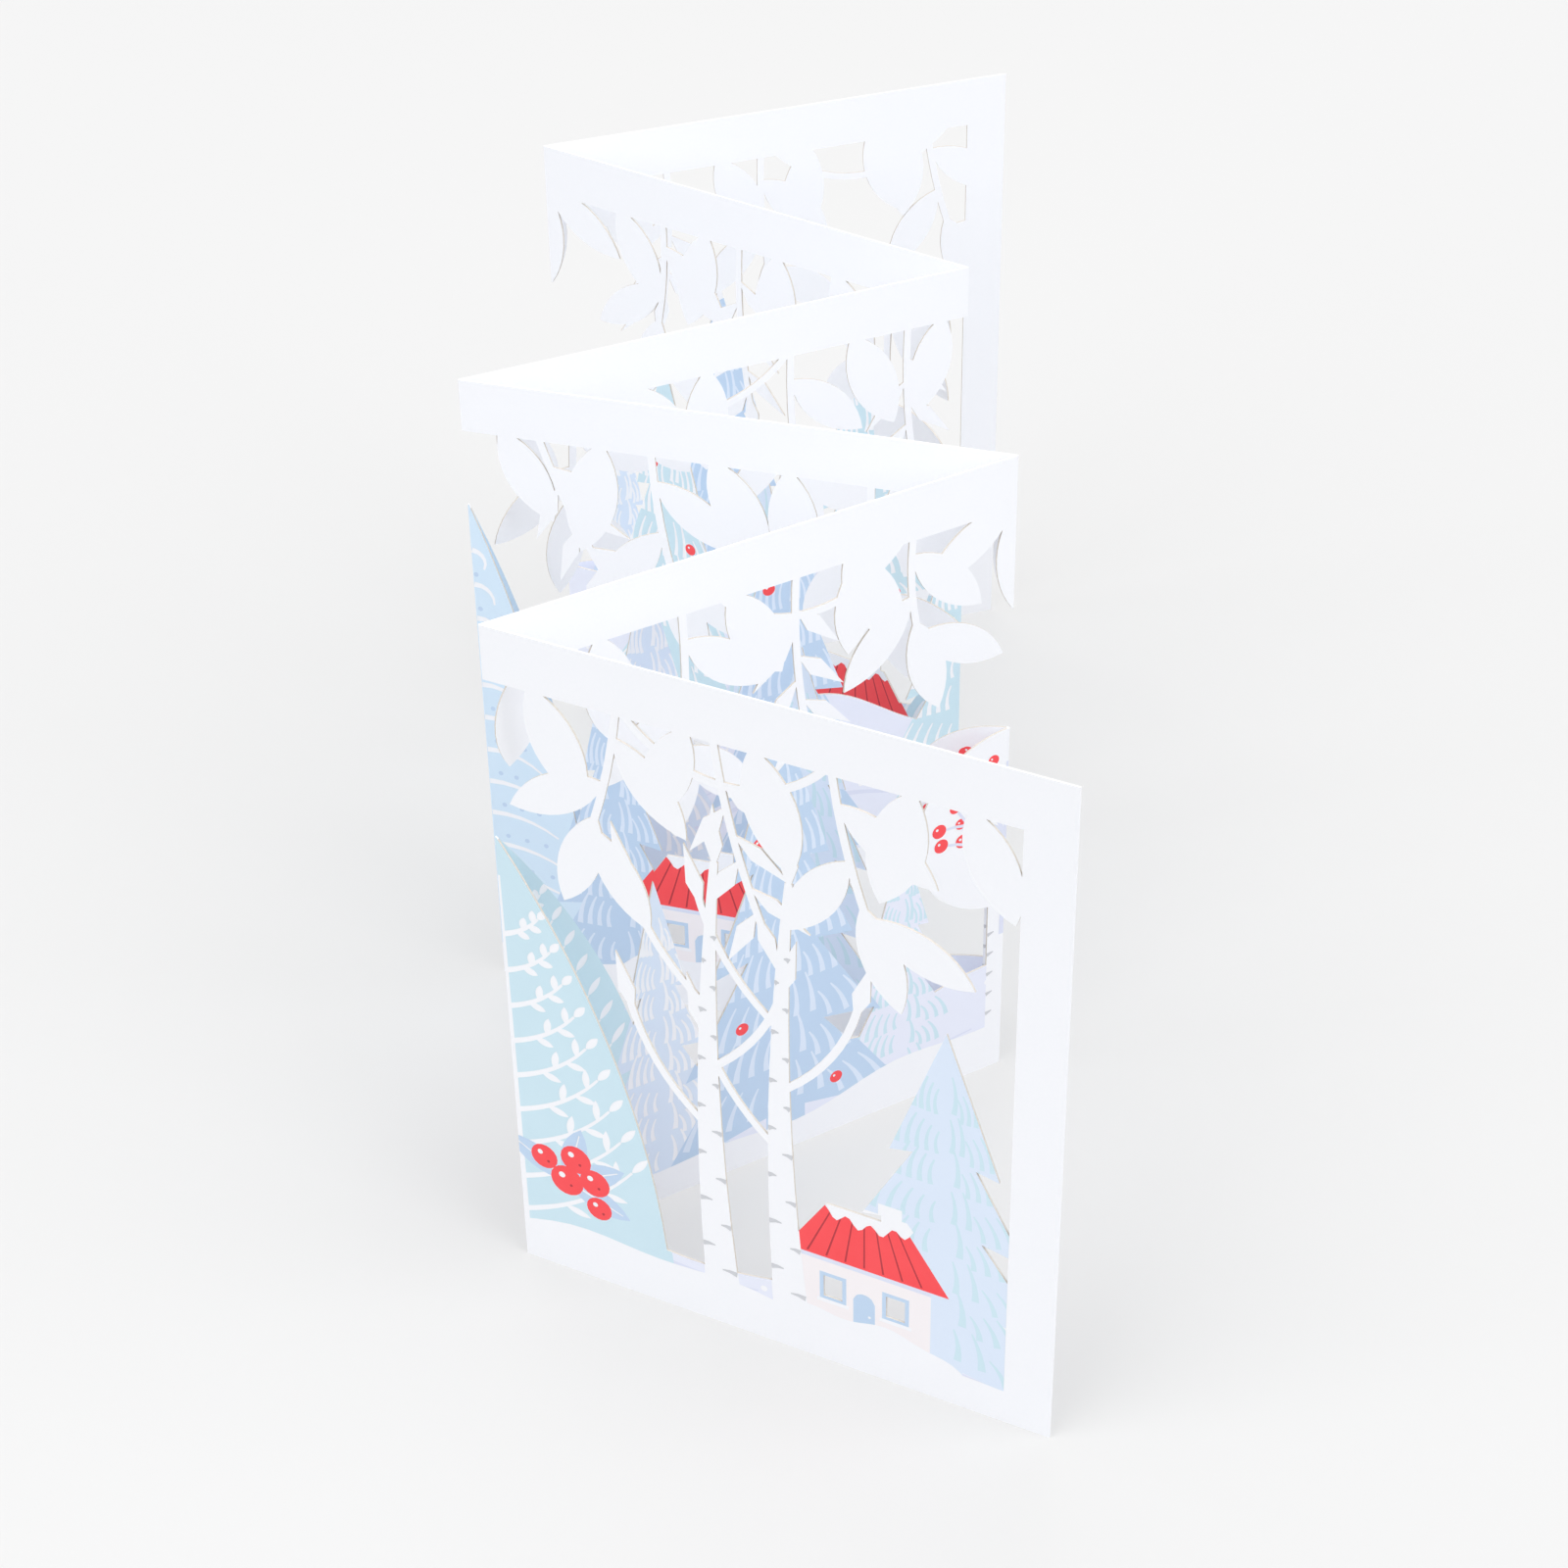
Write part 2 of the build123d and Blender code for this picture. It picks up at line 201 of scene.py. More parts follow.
# The print: thin matt ink on both faces of the card, the two in register. It is drawn panel by panel in
# millimetres from the foot of the left edge, in flat fields and brush strokes, and laid where the die
# left card standing. What is left as paper stays white.
INK_RISE, BLEED, OVERRUN = 0.03, 1.5, 2.0
INKS = {
    "aqua": (203, 229, 241),
    "sky": (211, 232, 250),
    "ice": (219, 232, 250),
    "blue": (190, 213, 239),
    "lavender": (232, 236, 251),
    "mist": (221, 226, 245),
    "red": (250, 72, 78),
    "maroon": (176, 44, 54),
    "grey": (203, 205, 211),
    "wall": (246, 241, 244),
}
PAPER = None
WASH, WASH_DETAIL, WASH_SHARE = 0.012, 3, 0.65
INK_GRAIN, GRAIN_DETAIL = 0.0007, 2
INK_THIN, INK_THICK = 0.10, 0.985
INK_ROUGHNESS, GRAIN_ROUGHNESS = 0.52, 0.10
LEAF_POINTS, LEAF_WAIST = 9, 0.4
GLINT_SHIFT, GLINT_SHARE = np.array([-0.3, 0.3]), 0.21
BERRY_SIDES, DOT_SIDES = 18, 8


def ink(name):
    """Matt ink: the colour drifts a little where it was brushed, and the grain of the card shows through."""
    material, wire, place, shader = stock("ink_" + name)
    wash = cloud(wire, place, WASH, WASH_DETAIL)
    grain = cloud(wire, place, INK_GRAIN, GRAIN_DETAIL)
    colour = np.array(INKS[name])
    pale = tone(*(colour + (255 - colour) * INK_THIN))
    deep = tone(*(colour * INK_THICK))
    mixed = WASH_SHARE * wash + (1 - WASH_SHARE) * grain
    dress(shader, mixed.blend(deep, pale), INK_ROUGHNESS + GRAIN_ROUGHNESS * grain, grain)
    return material


def along(heading, length):
    """A step of that length along a heading in degrees."""
    return length * np.array([np.cos(np.radians(heading)), np.sin(np.radians(heading))])


def arc(start, end, bulge, count):
    """Points along a circle's arc: the chord plus the circle's rise over it, to the right if bulge > 0."""
    start, end = np.asarray(start, float), np.asarray(end, float)
    chord = end - start
    length = np.hypot(*chord)
    radius = (length**2 / 4 + bulge**2) / (2 * abs(bulge))
    share = np.linspace(0, 1, count)
    rise = np.sqrt(radius**2 - (length * (share - 0.5)) ** 2) - (radius - abs(bulge))
    side = np.array([chord[1], -chord[0]]) / length * np.sign(bulge)
    return start + share[:, None] * chord + rise[:, None] * side


def almond(foot, heading, length, breadth):
    """Leaf of two equal arcs between its foot and its tip."""
    tip = foot + along(heading, length)
    there = arc(foot, tip, breadth / 2, LEAF_POINTS)
    back = arc(tip, foot, breadth / 2, LEAF_POINTS)
    return np.vstack([there[:-1], back[:-1]])


def lozenge(foot, heading, length, breadth):
    """Narrow leaf of four straight sides, widest at its waist."""
    waist = foot + along(heading, LEAF_WAIST * length)
    side = along(heading + 90, breadth / 2)
    return np.array([foot, waist + side, foot + along(heading, length), waist - side])


def stroke(points, brush):
    """Brush stroke along points: offset to both sides by half a width that runs evenly between the two
    that the brush gives."""
    points = np.asarray(points, float)
    run = np.gradient(points, axis=0)
    side = np.stack([-run[:, 1], run[:, 0]], axis=1) / np.hypot(*run.T)[:, None]
    half = np.linspace(*brush, len(points))[:, None] / 2
    return np.vstack([points + side * half, (points - side * half)[::-1]])


def disc(centre, radius, count):
    """Points round a circle, at equal turns."""
    turn = np.linspace(0, 2 * np.pi, count, endpoint=False)
    return np.asarray(centre) + radius * np.stack([np.cos(turn), np.sin(turn)], axis=1)


def block(left, low, right, high):
    """Upright rectangle."""
    return np.array([(left, low), (right, low), (right, high), (left, high)], float)


def down_to_foot(line):
    """Field from a line across the panel down past its lower edge."""
    return np.vstack([line, [(line[-1, 0], -OVERRUN), (line[0, 0], -OVERRUN)]])


def berry(centre, radius):
    """Red disc with a glint left white."""
    glint = disc(np.asarray(centre) + radius * GLINT_SHIFT, GLINT_SHARE * radius, DOT_SIDES)
    return [("red", disc(centre, radius, BERRY_SIDES)), (PAPER, glint)]


# Snow: lavender slopes behind, and a white foreground that is bare card. Long soft strokes follow the
# slopes, and flakes are left white in the ink.
SNOW_DEPTH, SLOPE_POINTS = 40.0, 40
SNOW_EDGE_SHARES = (0.46, 0.50, 0.80, 0.60, 1.00, 1.10, 0.60)
SNOW_PLACE_SHARES = (0, 0.38, 0.72, 1)
SNOW_SHARES = ((0.40, 0.58), (0.90, 0.62), (0.66, 0.60), (1.15, 1.45), (1.45, 0.80), (0.72, 1.15))
DRIFT_SHARES, DRIFT_BRUSH = (0.80, 0.62, 0.45), (2.2, 0.4)
DRIFT_START, DRIFT_STEP, DRIFT_POINTS = 5, 9, 14
GOLDEN = 0.618
FLAKES, FLAKE_SHIFT, FLAKE_CLIMB = 21, 0.17, 0.755
FLAKE_FLOOR, FLAKE_SPAN = 14.0, 42.0
FLAKE_RADIUS, FLAKE_GROWTH = 0.5, 0.43
GROUND_HEIGHT, GROUND_POINTS = 11.0, 30
GROUND_WAVES = ((3.0, 21.0, 2.1), (1.2, 7.5, 1.0))


def slope(panel):
    """Top of the snow: smooth cosine steps between its depths at four places across the panel."""
    left, right = (panel + 1, panel) if panel % 2 == 0 else (panel, panel + 1)
    depths = np.array([SNOW_EDGE_SHARES[left], *SNOW_SHARES[panel], SNOW_EDGE_SHARES[right]]) * SNOW_DEPTH
    places = np.array(SNOW_PLACE_SHARES) * PANEL_WIDTH
    across = np.linspace(-OVERRUN, PANEL_WIDTH + OVERRUN, SLOPE_POINTS)
    span = np.clip(np.searchsorted(places, across) - 1, 0, len(places) - 2)
    share = np.clip((across - places[span]) / (places[span + 1] - places[span]), 0, 1)
    ease = (1 - np.cos(np.pi * share)) / 2
    return np.stack([across, depths[span] * (1 - ease) + depths[span + 1] * ease], axis=1)


def snow(panel):
    """Slope with its bleed, strokes along three stretches of it, and flakes whose places and sizes step on
    by a share of their range and wrap round."""
    drawn = [("lavender", down_to_foot(slope(panel) + (0, 2 * BLEED)))]
    for number, share in enumerate(DRIFT_SHARES):
        start = DRIFT_START + DRIFT_STEP * number
        drawn.append(("mist", stroke(slope(panel)[start:start + DRIFT_POINTS] * (1, share), DRIFT_BRUSH)))
    for flake in range(1, FLAKES + 1):
        across = (GOLDEN * flake + FLAKE_SHIFT * panel) % 1 * PANEL_WIDTH
        height = FLAKE_FLOOR + FLAKE_CLIMB * flake % 1 * FLAKE_SPAN
        radius = FLAKE_RADIUS * (1 + FLAKE_GROWTH * flake % 1)
        drawn.append((PAPER, disc((across, height), radius, DOT_SIDES)))
    return drawn


def foreground(panel):
    """White ground in front, its top edge the sum of two waves that shift from panel to panel."""
    across = np.linspace(-OVERRUN, PANEL_WIDTH + OVERRUN, GROUND_POINTS)
    height = np.full(len(across), GROUND_HEIGHT)
    for rise, run, shift in GROUND_WAVES:
        height += rise * np.sin(across / run + shift * panel)
    return [(PAPER, down_to_foot(np.stack([across, height], axis=1)))]


# Fold trees: a flame-shaped tree at fold 1, a ball tree at fold 2 and a spire at fold 3, each drawn
# alike on the two panels beside its fold. Ribs, leaflets and rings are left white in their washes, and
# the ball tree is bare card with painted twigs and berries.
FLAME_PANELS, BALL_PANELS, SPIRE_PANELS = (0, 1), (1, 2), (2, 3)
FLANK_POINTS = 20
FLAME_HEIGHT, FLAME_REACH, FLAME_BULGE = 118.0, 38.0, 9.0
SPINE, SPINE_BRUSH = ((0, 10.0), (0.1, 60.0), (0, 108.0)), (2.6, 0.8)
RIBS, RIB_FOOT, RIB_STEP, RIB_BRUSH, RIB_POINTS = 9, 14.0, 9.8, (1.5, 0.6), 13
RIB_REACH, RIB_LOSS_SHARE, RIB_RISE_SHARE, RIB_SAG_SHARE = 29.0, 0.255, 0.75, 0.09
LEAFLETS, FIRST_LEAFLET, LEAFLET_STEP = 5, 4, 2
LEAFLET_SPREAD, LEAFLET_SHARE, LEAFLET_BREADTH = 44, 0.17, 1.9
SPIRE_HEIGHT, SPIRE_REACH, SPIRE_BULGE = 138.0, 26.0, 6.0
RINGS, RING_FOOT, RING_STEP, RING_BRUSH, RING_POINTS = 12, 22.0, 9.4, (1.5, 0.5), 6
RING_REACH, RING_TAPER, RING_DROP, RING_SAG = 23.5, 1.3, 5.0, 1.6
DOT_SHARES, DOT_SLOPE, DOT_DROP, DOT_RADIUS = (0.22, 0.51, 0.8), 2, 1.2, 0.65
CROWN_RADIUS, CROWN_HEIGHT, CROWN_SIDES, TRUNK = 25.0, 74.0, 40, 9.0
BOUGH, BOUGH_BRUSH = (40.0, 66.0, 90.0), (2.4, 1.0)
# Each twig: the height of its foot, its heading and its length.
TWIGS = ((56, 128, 20), (62, 150, 21), (66, 118, 20), (70, 160, 20), (76, 125, 17), (80, 152, 15))
TWIG_BOW, TWIG_POINTS, TWIG_BRUSH, TWIG_BERRY = 1.8, 6, (1.3, 0.6), 1.9
FORK_PLACE, FORK_TURN, FORK_SHARE, FORK_BRUSH, FORK_BERRY = 3, 38, 0.36, (0.9, 0.5), 1.5
BARK_MARKS, BARK_FOOT, BARK_STEP, BARK_RUN, BARK_BRUSH = 5, 17, 6.0, (1.8, 0.5), (1.2, 0.3)


def cone(wash, height, reach, bulge):
    """Half of a pointed tree, from the fold to its right, with an arc for its flank."""
    flank = arc((reach + BLEED, 0), (0, height + BLEED), bulge, FLANK_POINTS)
    return [(wash, np.vstack([flank, [(-OVERRUN, height), (-OVERRUN, 0)]]))]


def flame():
    """White spine along the fold, with ribs that sweep up from it and leaflets to both sides by turns."""
    drawn = cone("aqua", FLAME_HEIGHT, FLAME_REACH, FLAME_BULGE)
    drawn.append((PAPER, stroke(SPINE, SPINE_BRUSH)))
    for rib in range(RIBS):
        low = RIB_FOOT + RIB_STEP * rib
        reach = RIB_REACH - RIB_LOSS_SHARE * RIB_STEP * rib
        line = arc((0, low), (reach, low + RIB_RISE_SHARE * reach), RIB_SAG_SHARE * reach, RIB_POINTS)
        drawn.append((PAPER, stroke(line, RIB_BRUSH)))
        for leaf in range(LEAFLETS):
            place = FIRST_LEAFLET + LEAFLET_STEP * leaf
            rise, run = (line[place] - line[place - 1])[::-1]
            side = 0 if leaf == LEAFLETS - 1 else LEAFLET_SPREAD * (-1) ** (leaf + 1)
            heading = np.degrees(np.arctan2(rise, run)) + side
            length = LEAFLET_SHARE * reach + LEAFLET_BREADTH
            drawn.append((PAPER, almond(line[place], heading, length, LEAFLET_BREADTH)))
    return drawn


def spire():
    """Drooping white rings up the flank, with three dots under each wide one and one under the others."""
    drawn = cone("sky", SPIRE_HEIGHT, SPIRE_REACH, SPIRE_BULGE)
    for ring in range(RINGS):
        high = RING_FOOT + RING_STEP * ring
        reach = RING_REACH * (1 - (high / SPIRE_HEIGHT) ** RING_TAPER)
        line = arc((0, high), (reach, high - RING_DROP), -RING_SAG, RING_POINTS)
        drawn.append((PAPER, stroke(line, RING_BRUSH)))
        for share in DOT_SHARES if reach > RING_REACH / 2 else DOT_SHARES[:1]:
            centre = (share * reach, high - RING_DROP - DOT_SLOPE * share - DOT_DROP)
            drawn.append(("blue", disc(centre, DOT_RADIUS, DOT_SIDES)))
    return drawn


def ball_tree():
    """Painted twigs in a white crown, each forked, with berries at the ends, and bark marks on the trunk."""
    fold = PANEL_WIDTH
    drawn = [(PAPER, disc((fold, CROWN_HEIGHT), CROWN_RADIUS + BLEED, CROWN_SIDES))]
    drawn.append((PAPER, block(fold - TRUNK / 2, -OVERRUN, fold + OVERRUN, CROWN_HEIGHT)))
    drawn.append(("mist", stroke([(fold, height) for height in BOUGH], BOUGH_BRUSH)))
    for low, heading, length in TWIGS:
        foot = np.array([fold, low])
        tip = foot + along(heading, length)
        line = arc(foot, tip, TWIG_BOW, TWIG_POINTS)
        start = line[FORK_PLACE]
        fork = start + along(heading - FORK_TURN, FORK_SHARE * length)
        drawn.append(("mist", stroke(line, TWIG_BRUSH)))
        drawn.append(("mist", stroke([start, (start + fork) / 2, fork], FORK_BRUSH)))
        drawn += berry(tip, TWIG_BERRY) + berry(fork, FORK_BERRY)
    for mark in range(BARK_MARKS):
        low = np.array([fold - TRUNK / 2, BARK_FOOT + BARK_STEP * mark])
        drawn.append(("grey", stroke([low, low + BARK_RUN], BARK_BRUSH)))
    return drawn


# Firs: tiers of drooping boughs in pale washes, with needles of a second wash or of bare card brushed
# down each tier in two rows. Some carry small red baubles.
FIR_TIERS, FIR_LIFT, FIR_OVERLAP = 4, 0.20, 0.70
FIR_TRUNK_SHARE, FIR_TRUNK_TIERS, SKIRT_BLEED, PEAK_BLEED = 0.17, 2, 1.0, 3 * BLEED
NEEDLES, NEEDLE_ROW, NEEDLE_POINTS, NEEDLE_BOW = 18, 5, 5, 0.6
NEEDLE_START, NEEDLE_STEP, NEEDLE_INSET = 0.13, 0.185, 0.5
ROW_SHIFT, ROW_LOSS, ROW_RISE = 0.09, 0.28, 0.50
NEEDLE_LEAN, NEEDLE_RUN, RUN_VARIES, FOOT_VARIES = 0.26, 0.30, 0.22, 0.10
NEEDLE_BREADTH, BREADTH_SHARE, BREADTH_VARIES, NEEDLE_TIP = 0.5, 0.035, 0.4, 0.4
BAUBLE_RADIUS, BAUBLE_OUT, BAUBLE_RISE = 1.7, 0.45, 0.34
# Each fir: its place, height and reach as shares of the panel, its wash, its needles' wash, baubles or not.
FIRS = (
    ((0.80, 0.60, 0.24, "ice", "aqua", False),),
    ((0.28, 0.54, 0.14, "ice", PAPER, False), (0.78, 0.46, 0.14, "lavender", "aqua", False),
     (0.53, 0.74, 0.24, "blue", "ice", True)),
    ((0.25, 0.60, 0.15, "blue", "ice", False), (0.62, 0.66, 0.20, "ice", "aqua", False)),
    ((0.33, 0.64, 0.17, "ice", PAPER, False), (0.62, 0.76, 0.20, "blue", "ice", True),
     (1.0, 0.64, 0.20, "aqua", PAPER, False)),
    ((0.28, 0.70, 0.20, "aqua", PAPER, True), (0.52, 0.60, 0.16, "ice", "aqua", False),
     (1.0, 0.64, 0.20, "aqua", PAPER, False)),
    ((0.13, 0.52, 0.11, "ice", PAPER, False), (0.36, 0.72, 0.20, "blue", "ice", False),
     (0.68, 0.58, 0.18, "aqua", PAPER, True)),
)


def needles(axis, skirt, wide, drop, wash):
    """Bowed strokes to both sides of a tier by turns, in two rows that start above the skirt's line. They
    lean in towards the axis, and their foot, length and breadth vary by the golden ratio."""
    drawn = []
    for number in range(NEEDLES):
        side = 1 if number % 2 else -1
        row, place = divmod(number // 2, NEEDLE_ROW)
        share = (NEEDLE_START + NEEDLE_STEP * place + ROW_SHIFT * row) * (1 - ROW_LOSS * row)
        vary = GOLDEN * number % 1
        edge = skirt + FIR_LIFT * wide * (1 - share) + NEEDLE_INSET
        low = np.array([axis + side * share * wide, edge + (ROW_RISE * row + FOOT_VARIES * vary) * drop])
        high = low + (-NEEDLE_LEAN * side * share * wide, (NEEDLE_RUN + RUN_VARIES * vary) * drop)
        brush = (BREADTH_SHARE * wide + NEEDLE_BREADTH + BREADTH_VARIES * vary, NEEDLE_TIP)
        drawn.append((wash, stroke(arc(low, high, NEEDLE_BOW * side, NEEDLE_POINTS), brush)))
    return drawn


def fir(place, height, reach, wash, needle_wash, baubles):
    """Each tier is a triangle with a lifted middle, widened by the bleed, over a trunk. Its needles and
    its bauble come after all the tiers."""
    axis, height, reach = place * PANEL_WIDTH, height * PANEL_HEIGHT, reach * PANEL_WIDTH
    drop = height / (FIR_TIERS + 1)
    half = FIR_TRUNK_SHARE * reach
    boughs = [(wash, block(axis - half, 0, axis + half, FIR_TRUNK_TIERS * drop))]
    brushed, hung = [], []
    for tier in range(FIR_TIERS):
        wide = reach * (tier + 2) / (FIR_TIERS + 1)
        peak = height - drop * tier
        skirt = peak - (1 + FIR_OVERLAP) * drop
        low, out = skirt - SKIRT_BLEED, wide + BLEED
        tip, lifted = (axis, peak + PEAK_BLEED), (axis, low + FIR_LIFT * wide)
        boughs.append((wash, np.array([tip, (axis - out, low), lifted, (axis + out, low)])))
        brushed += needles(axis, skirt, wide, drop, needle_wash)
        side = 1 if tier % 2 else -1
        hung += berry((axis + BAUBLE_OUT * wide * side, skirt + BAUBLE_RISE * drop), BAUBLE_RADIUS)
    return boughs + brushed + (hung if baubles else [])


# Cottages: pale walls under a red hipped roof with ruled lines, a snow cap and a chimney, a blue door,
# and frames round the two panes that are cut through the wall. Snow banks up against the walls.
COTTAGES = ((0.66,), (), (0.42,), (), (0.75,), ())
COTTAGE_FLOOR, COTTAGE_WIDTH, WALL_HEIGHT = 13.0, 30.0, 18.0
WALL_BLEED, WALL_FOOTING, WALL_TUCK = 0.8, 4.0, 0.5
ROOF_HEIGHT, EAVES, RIDGE, EAVES_DROP, RIDGE_BLEED = 15.0, 3.5, 18.0, 0.6, 1.0
ROOF_LINES, ROOF_LINE_SPREAD, ROOF_LINE_BRUSH = 7, 0.8, (0.45, 0.3)
ROOF_LINE_PLACES = np.array([17.0, 13.0, 9.0])
CAP_HALF, CAP_TOP_HALF, CAP_RISE, CAP_POINTS = 11.5, 10.0, 2.0, 24
CAP_DROP, CAP_WAVE, CAP_TURN, CAP_SAG = 3.4, 1.3, 1.15, 0.02
CHIMNEY_PLACE, CHIMNEY_HALF, CHIMNEY_HEIGHT, CHIMNEY_CAP = 6.0, 2.8, 3.5, (1.4, 5.0)
BOARD_LOW, BOARD_HIGH = 1.8, 0.6
PANE_PLACE, PANE_HALF, PANE_LOW, PANE_HIGH = 7.5, 3.2, 5.0, 13.0
SILL_REACH, SILL_LOW, SILL_HIGH = 0.6, 0.8, 0.2
DOOR_HALF, DOOR_HEIGHT, DOOR_ARCH, ARCH_POINTS = 2.6, 8.0, 2.2, 8
KNOB, KNOB_SIDES = 0.4, 6
BANK_HALF, BANK_RISE, BANK_FALL, BANK_POINTS = 27.0, 1.8, 15.0, 28
BANK_WAVE, BANK_TURN = 0.9, 3.1


def roof(axis, plate, ridge):
    """Trapezium from the eaves to the ridge, with lines ruled up it that close in, and a snow cap whose
    lower edge is a wave on a shallow parabola."""
    eave, peak = (COTTAGE_WIDTH / 2 + EAVES + BLEED, plate - EAVES_DROP), (RIDGE / 2, ridge + RIDGE_BLEED)
    drawn = [("red", np.array([(-eave[0], eave[1]), eave, peak, (-peak[0], peak[1])]) + (axis, 0))]
    heights = np.array([plate, (plate + ridge) / 2, ridge])
    for share in np.linspace(-ROOF_LINE_SPREAD, ROOF_LINE_SPREAD, ROOF_LINES):
        line = np.stack([ROOF_LINE_PLACES * share + axis, heights], axis=1)
        drawn.append(("maroon", stroke(line, ROOF_LINE_BRUSH)))
    across = np.linspace(-CAP_HALF, CAP_HALF, CAP_POINTS)
    edge = ridge - CAP_DROP + CAP_WAVE * np.sin(CAP_TURN * across) + CAP_SAG * across**2
    top = [(axis + CAP_TOP_HALF, ridge + CAP_RISE), (axis - CAP_TOP_HALF, ridge + CAP_RISE)]
    return drawn + [(PAPER, np.vstack([np.stack([axis + across, edge], axis=1), top]))]


def openings(axis):
    """Blue frames round the panes over white sills, and a blue door with an arc for its head and a white
    knob."""
    drawn = []
    low, high = COTTAGE_FLOOR + PANE_LOW, COTTAGE_FLOOR + PANE_HIGH
    for pane in (axis - PANE_PLACE, axis + PANE_PLACE):
        left, right = pane - PANE_HALF, pane + PANE_HALF
        drawn.append(("blue", block(left, low, right, high)))
        drawn.append((PAPER, block(left - SILL_REACH, low - SILL_LOW, right + SILL_REACH, low + SILL_HIGH)))
    spring = COTTAGE_FLOOR + DOOR_HEIGHT
    head = arc((axis + DOOR_HALF, spring), (axis - DOOR_HALF, spring), DOOR_ARCH, ARCH_POINTS)
    step = [(axis - DOOR_HALF, COTTAGE_FLOOR), (axis + DOOR_HALF, COTTAGE_FLOOR)]
    drawn.append(("blue", np.vstack([head, step])))
    knob = (axis + DOOR_HALF / 2, COTTAGE_FLOOR + DOOR_HEIGHT / 2)
    return drawn + [(PAPER, disc(knob, KNOB, KNOB_SIDES))]


def cottage(place):
    """Straight fields from the floor up, then a bank of snow: a wave that falls off with the fourth power
    of the distance from the axis."""
    axis = place * PANEL_WIDTH
    plate = COTTAGE_FLOOR + WALL_HEIGHT
    ridge = plate + ROOF_HEIGHT
    left, right = axis - COTTAGE_WIDTH / 2 - WALL_BLEED, axis + COTTAGE_WIDTH / 2 + WALL_BLEED
    stack_left, stack_right = axis + CHIMNEY_PLACE - CHIMNEY_HALF, axis + CHIMNEY_PLACE + CHIMNEY_HALF
    drawn = [("wall", block(left, COTTAGE_FLOOR - WALL_FOOTING, right, plate + WALL_TUCK))]
    drawn.append(("grey", block(stack_left, plate, stack_right, ridge + CHIMNEY_HEIGHT)))
    drawn += roof(axis, plate, ridge)
    drawn.append((PAPER, block(stack_left, ridge + CHIMNEY_CAP[0], stack_right, ridge + CHIMNEY_CAP[1])))
    drawn.append(("mist", block(left, plate - BOARD_LOW, right, plate - BOARD_HIGH)))
    drawn += openings(axis)
    drift = np.linspace(-BANK_HALF, BANK_HALF, BANK_POINTS)
    wave = BANK_WAVE * np.sin(drift / BANK_TURN)
    bank = COTTAGE_FLOOR + BANK_RISE + wave - (drift / BANK_FALL) ** 4
    return drawn + [(PAPER, np.stack([axis + drift, bank], axis=1))]


# Birches: bare white trunks on the front panel, slender and bowed, with grey flecks of bark brushed in
# from their two sides by turns.
BIRCHES = ((0.40, 0.53), (), (), (), (), ())
BIRCH_HEIGHT, BIRCH_BOW, BIRCH_BRUSH, BIRCH_POINTS = 128.0, 3.0, (9.4, 2.2), 17
FLECKS, FLECK_FOOT, FLECK_STEP, FLECK_BRUSH = 15, 16.0, 6.6, (1.5, 0.3)
FLECK_REACH, FLECK_LOSS, FLECK_START, FLECK_END = 4.4, 3.5, 1.02, 0.1
FLECK_VARIES, FLECK_TURN, FLECK_RISES = 0.3, 0.37, (0.3, 0.2)


def birch(place):
    """Trunk as a tapered stroke along a parabola, with flecks from its edge towards its middle."""
    def bowed(height):
        """Where the trunk's middle is at a height."""
        share = height / BIRCH_HEIGHT
        return place * PANEL_WIDTH - 4 * BIRCH_BOW * share * (1 - share)

    height = np.linspace(0, BIRCH_HEIGHT, BIRCH_POINTS)
    drawn = [(PAPER, stroke(np.stack([bowed(height), height], axis=1), BIRCH_BRUSH))]
    for fleck in range(FLECKS):
        low = FLECK_FOOT + FLECK_STEP * fleck
        reach = (FLECK_REACH - FLECK_LOSS * low / BIRCH_HEIGHT) * (-1) ** fleck
        start = bowed(low) + FLECK_START * reach
        end = bowed(low) + (FLECK_END + FLECK_VARIES * (FLECK_TURN * fleck % 1)) * reach
        line = [(start, low), ((start + end) / 2, low + FLECK_RISES[0]), (end, low + FLECK_RISES[1])]
        drawn.append(("grey", stroke(line, FLECK_BRUSH)))
    return drawn


# Canopy: sprays of almond and willow leaves on thin stems, and single leaves, all hung from the top band.
# They are left as bare card where they cross the trees, and so are the side margins of the two end panels.
BAND, MARGIN = 13.0, 11.0
CANOPY_DEPTH, STEM, STEM_POINTS = 62.0, 1.8, 12
FIRST_LEAF, LEAF_SPAN, TIP_TUCK = 0.30, 0.62, 0.25
# Each kind of spray: its leaf, their number, spread, length and breadth, then by panel where each hangs: its
# place across, heading, turn and share of the depth.
SPRAYS = (
    (almond, 3, 48, 26.0, 9.6, (
        ((0.24, -95, -15, 0.85), (0.60, -85, 15, 0.90)), ((0.35, -85, -12, 0.90), (0.80, -100, 25, 0.75)),
        ((0.35, -90, 15, 0.90), (0.75, -95, 20, 0.80)), ((0.20, -85, -15, 0.80), (0.64, -95, 15, 0.90)),
        ((0.29, -85, -20, 0.85), (0.84, -100, 15, 0.85)), ((0.46, -95, 15, 0.90), (0.82, -85, 15, 0.85)))),
    (lozenge, 6, 44, 16.0, 4.2, (
        ((0.40, -85, 15, 0.90),), ((0.57, -95, 15, 0.85),), ((0.13, -75, 15, 0.80),),
        ((0.88, -95, 15, 0.85),), ((0.48, -95, 15, 0.90),), ((0.25, -85, -15, 0.80),))),
)
FRINGE_LENGTH, FRINGE_BREADTH = 30.0, 12.5
